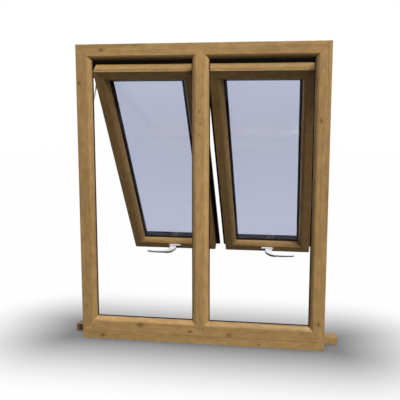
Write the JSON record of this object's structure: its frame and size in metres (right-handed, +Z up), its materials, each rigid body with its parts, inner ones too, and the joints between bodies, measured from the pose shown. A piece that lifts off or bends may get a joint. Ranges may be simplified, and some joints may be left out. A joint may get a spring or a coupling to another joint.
{
  "type": "stormproof timber window",
  "caption": "Stormproof timber window: a moulded frame with a mullion and horned sill, top-hung double-glazed sashes held open on stays, and cranked turning handles.",
  "frame": {"origin": "on the sill's flat underside, midway along the frame and midway through its depth", "axes": "+Z up, +Y outdoors through the window, +X to the right as seen from the room"},
  "size_m": [1.161, 0.7797, 1.262],
  "materials": {
    "timber": "stained softwood, satin",
    "seal": "matt",
    "glass": "clear",
    "spacer": "matt",
    "handle": "gloss white",
    "fittings": "brushed"
  },
  "bodies": {
    "window": {"bottom_rail": "timber", "head": "timber", "keeps": "fittings", "left_bolt_bar": "fittings", "left_frame_seal": "seal", "left_glazing_bead": "timber", "left_handle_base": "handle", "left_inner_pane": "glass", "left_inner_stay_arms": "fittings", "left_inner_stay_bar": "fittings", "left_inner_stay_track": "fittings", "left_jamb": "timber", "left_outer_pane": "glass", "left_outer_stay_arms": "fittings", "left_outer_stay_bar": "fittings", "left_outer_stay_track": "fittings", "left_sash_bottom_rail": "timber", "left_sash_inner_stile": "timber", "left_sash_outer_stile": "timber", "left_sash_seal": "seal", "left_sash_top_rail": "timber", "left_spacer": "spacer", "mullion": "timber", "right_bolt_bar": "fittings", "right_frame_seal": "seal", "right_glazing_bead": "timber", "right_handle_base": "handle", "right_inner_pane": "glass", "right_inner_stay_arms": "fittings", "right_inner_stay_bar": "fittings", "right_inner_stay_track": "fittings", "right_jamb": "timber", "right_outer_pane": "glass", "right_outer_stay_arms": "fittings", "right_outer_stay_bar": "fittings", "right_outer_stay_track": "fittings", "right_sash_bottom_rail": "timber", "right_sash_inner_stile": "timber", "right_sash_outer_stile": "timber", "right_sash_seal": "seal", "right_sash_top_rail": "timber", "right_spacer": "spacer", "sill": "timber"},
    "left_handle": {"left_handle_lever": "handle"},
    "right_handle": {"right_handle_lever": "handle"}
  },
  "joints": [
    {"name": "left_handle_turn", "type": "hinge", "parent": "window", "child": "left_handle", "pos_m": [-0.24675, 0.66107, 0.27122], "axis": [0, 0.8039, 0.5948], "range_deg": [0, 90]},
    {"name": "right_handle_turn", "type": "hinge", "parent": "window", "child": "right_handle", "pos_m": [0.24675, 0.66107, 0.27122], "axis": [0, -0.8039, -0.5948], "range_deg": [0, 90]}
  ]
}
